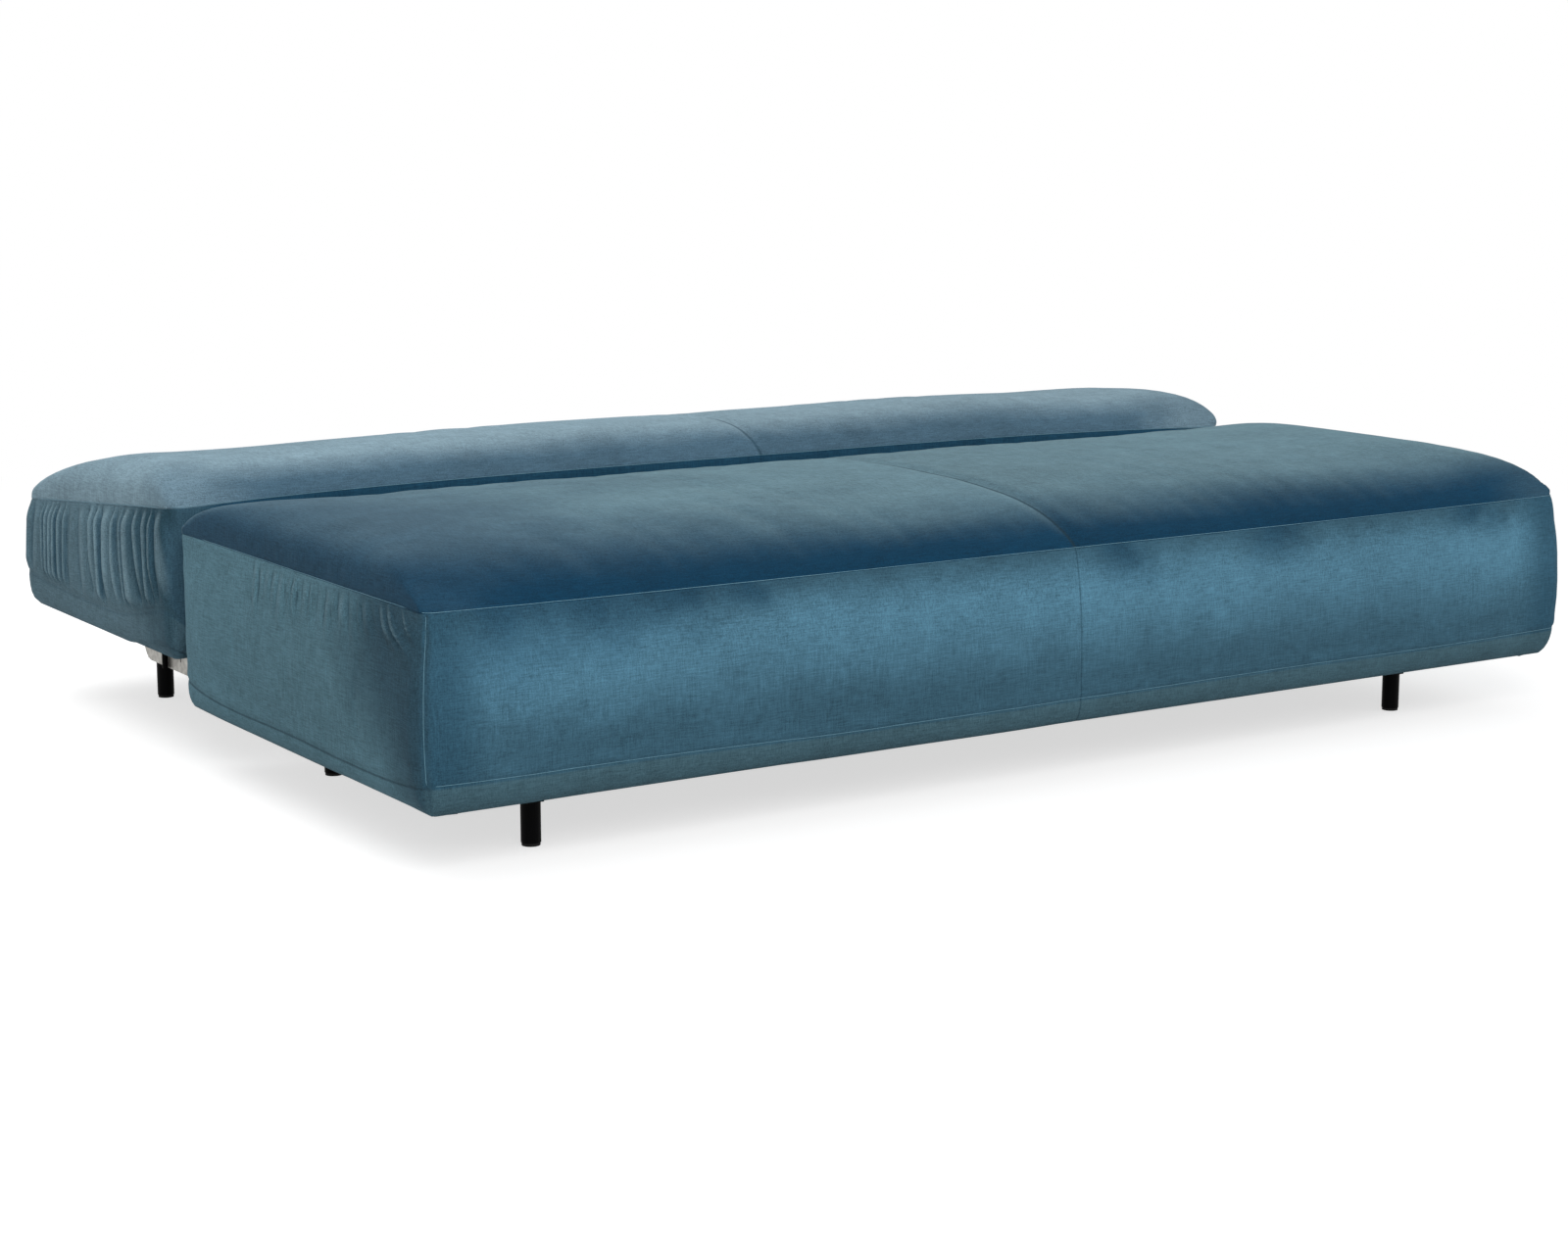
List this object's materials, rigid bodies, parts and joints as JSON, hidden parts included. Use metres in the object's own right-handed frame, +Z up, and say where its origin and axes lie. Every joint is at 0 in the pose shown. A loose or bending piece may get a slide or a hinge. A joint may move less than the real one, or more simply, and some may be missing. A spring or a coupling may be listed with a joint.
{
  "type": "click clack sofa bed",
  "caption": "Upholstered sofa bed laid flat: a deep seat that slides over a steel base on round legs, and a back that folds up on notched hinges.",
  "frame": {"origin": "middle of the bed's footprint, on the floor", "axes": "+X along the bed's length, +Y from the seat's front to the back's rear edge, +Z up"},
  "size_m": [2.0876, 1.563, 0.4561],
  "materials": {
    "velvet": "matte",
    "lining": "matte",
    "foam": "matte",
    "wood": "matte",
    "black_steel": "satin",
    "galvanised": "satin",
    "steel": "satin",
    "rubber": "matte",
    "nylon": "satin"
  },
  "bodies": {
    "base": {"side_rail_left": "galvanised", "side_rail_right": "galvanised", "rear_cross_tube": "galvanised", "slide_strip_left": "nylon", "slide_strip_right": "nylon", "rear_bracket_left": "galvanised", "rear_bracket_right": "galvanised", "stop_bolt_left": "rubber", "stop_bolt_right": "rubber", "bumper_left": "rubber", "bumper_right": "rubber", "middle_leg_left": "black_steel", "middle_leg_left_glide": "rubber", "middle_leg_right": "black_steel", "middle_leg_right_glide": "rubber", "rear_leg_left": "black_steel", "rear_leg_left_glide": "rubber", "rear_leg_right": "black_steel", "rear_leg_right_glide": "rubber"},
    "seat": {"seat_runner_left": "galvanised", "seat_runner_right": "galvanised", "hinge_plate_left": "steel", "hinge_plate_right": "steel", "hinge_pin_left": "steel", "hinge_pin_right": "steel", "front_leg_left": "black_steel", "front_leg_left_glide": "rubber", "front_leg_right": "black_steel", "front_leg_right_glide": "rubber", "seat_frame_front": "wood", "seat_frame_rear": "wood", "seat_frame_left": "wood", "seat_frame_right": "wood", "seat_frame_centre": "wood", "seat_bearer_left": "wood", "seat_bearer_right": "wood", "seat_slat_1": "wood", "seat_slat_2": "wood", "seat_slat_3": "wood", "seat_slat_4": "wood", "seat_slat_5": "wood", "seat_foam": "foam", "seat_cover": "velvet", "seat_lining": "lining"},
    "back": {"back_plate_left": "steel", "back_plate_right": "steel", "back_frame_front": "wood", "back_frame_rear": "wood", "back_frame_left": "wood", "back_frame_right": "wood", "back_bearer_left": "wood", "back_bearer_right": "wood", "back_slat_1": "wood", "back_slat_2": "wood", "back_slat_3": "wood", "back_foam": "foam", "back_cover": "velvet", "back_lining": "lining"},
    "pawl_left": {"pawl_left": "steel"},
    "pawl_right": {"pawl_right": "steel"}
  },
  "joints": [
    {"name": "seat_slide", "type": "slide", "parent": "base", "child": "seat", "axis": [0, 1, 0], "range_m": [0, 0.25]},
    {"name": "back_fold", "type": "hinge", "parent": "seat", "child": "back", "pos_m": [0, 0.238, 0.285], "axis": [1, 0, 0], "range_deg": [0, 75]},
    {"name": "pawl_left_lift", "type": "hinge", "parent": "seat", "child": "pawl_left", "pos_m": [-0.7882, 0.226, 0.219], "axis": [1, 0, 0], "range_deg": [0, 8]},
    {"name": "pawl_right_lift", "type": "hinge", "parent": "seat", "child": "pawl_right", "pos_m": [0.7882, 0.226, 0.219], "axis": [1, 0, 0], "range_deg": [0, 8]}
  ]
}
